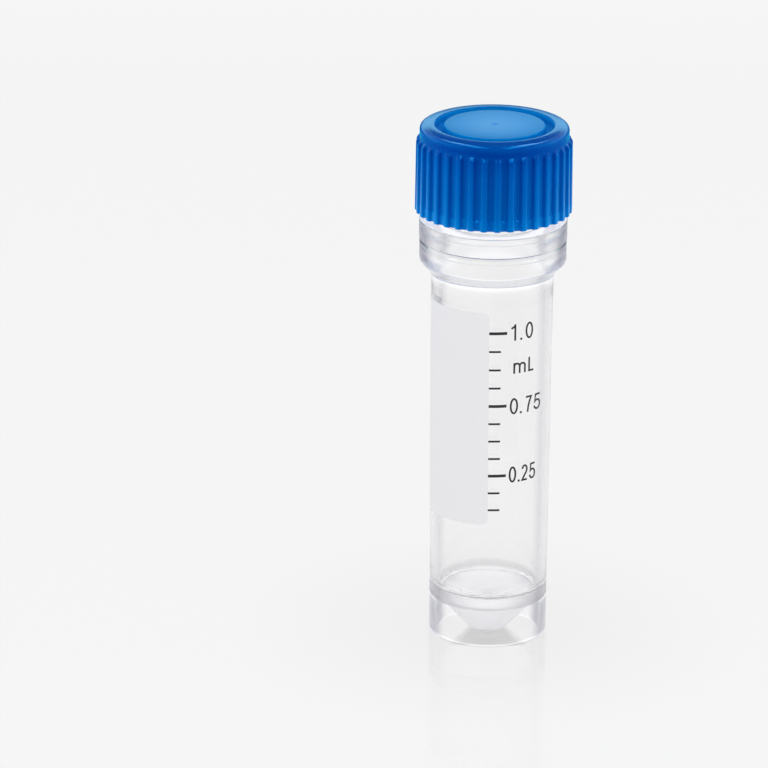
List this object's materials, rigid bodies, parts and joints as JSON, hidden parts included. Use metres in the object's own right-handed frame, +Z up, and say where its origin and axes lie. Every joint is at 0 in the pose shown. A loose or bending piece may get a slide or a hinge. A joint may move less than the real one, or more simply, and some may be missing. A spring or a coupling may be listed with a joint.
{
  "type": "cryovial",
  "caption": "Self-standing cryogenic sample vial: clear round tube with a conical foot inside an open skirt, outside neck thread, collar, ribbed blue screw cap and soft seal ring.",
  "frame": {"origin": "centre of the skirt's rest face, on the tube's axis", "axes": "+Z up along the tube's axis towards the cap; -Y out of the graduated side; +X to the right of it"},
  "size_m": [0.0144, 0.0144, 0.0492],
  "materials": {
    "clear_tube": "clear polypropylene, glossy",
    "blue_cap": "opaque blue polypropylene, semi-gloss",
    "seal_silicone": "translucent white silicone, matte"
  },
  "bodies": {
    "tube_body": {"tube": "clear_tube"},
    "seal_body": {"seal_ring": "seal_silicone"},
    "cap_body": {"screw_cap": "blue_cap"}
  },
  "joints": [
    {"name": "cap_rise", "type": "slide", "parent": "tube_body", "child": "seal_body", "axis": [0, 0, 1], "range_m": [0, 0.00375]},
    {"name": "cap_turn", "type": "hinge", "parent": "seal_body", "child": "cap_body", "pos_m": [0, 0, 0.045], "axis": [0, 0, 1], "range_deg": [0, 450]}
  ],
  "couplings": [
    {"joint": "cap_turn", "follows": "cap_rise", "rad_per_m": 2094.4}
  ]
}
